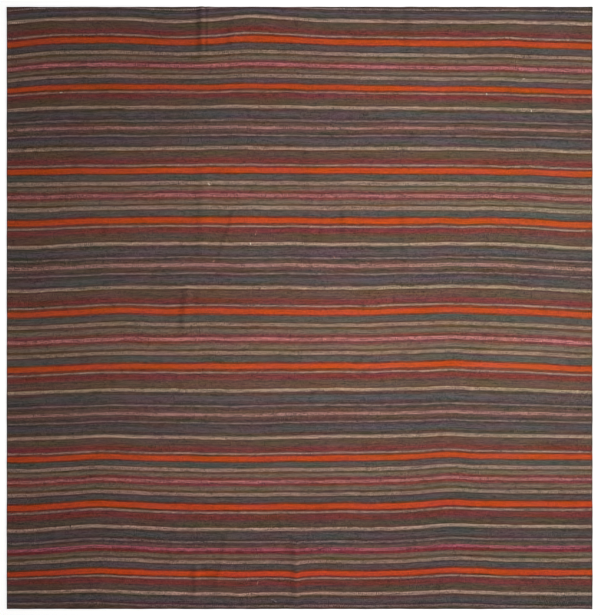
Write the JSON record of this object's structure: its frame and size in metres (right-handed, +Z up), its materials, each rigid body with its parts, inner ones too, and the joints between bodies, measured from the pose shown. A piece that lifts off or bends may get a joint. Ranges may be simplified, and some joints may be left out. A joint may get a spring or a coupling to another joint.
{
  "type": "kilim",
  "caption": "Flat-woven wool rug with cross stripes, nearly square, lying flat with a few fold creases.",
  "frame": {"origin": "on the floor, under the middle of the rug", "axes": "+Z up out of the face, +Y along the warp to the far end (the top of the picture), +X along the stripes"},
  "size_m": [2, 2.056, 0.0081],
  "materials": {
    "striped_wool": "matte hand-spun wool in a dense weft-faced plain weave, with stripes of madder, orange, rose, sand, olive, slate and brown"
  },
  "bodies": {
    "root": {"kilim_cloth": "striped_wool"}
  },
  "joints": []
}
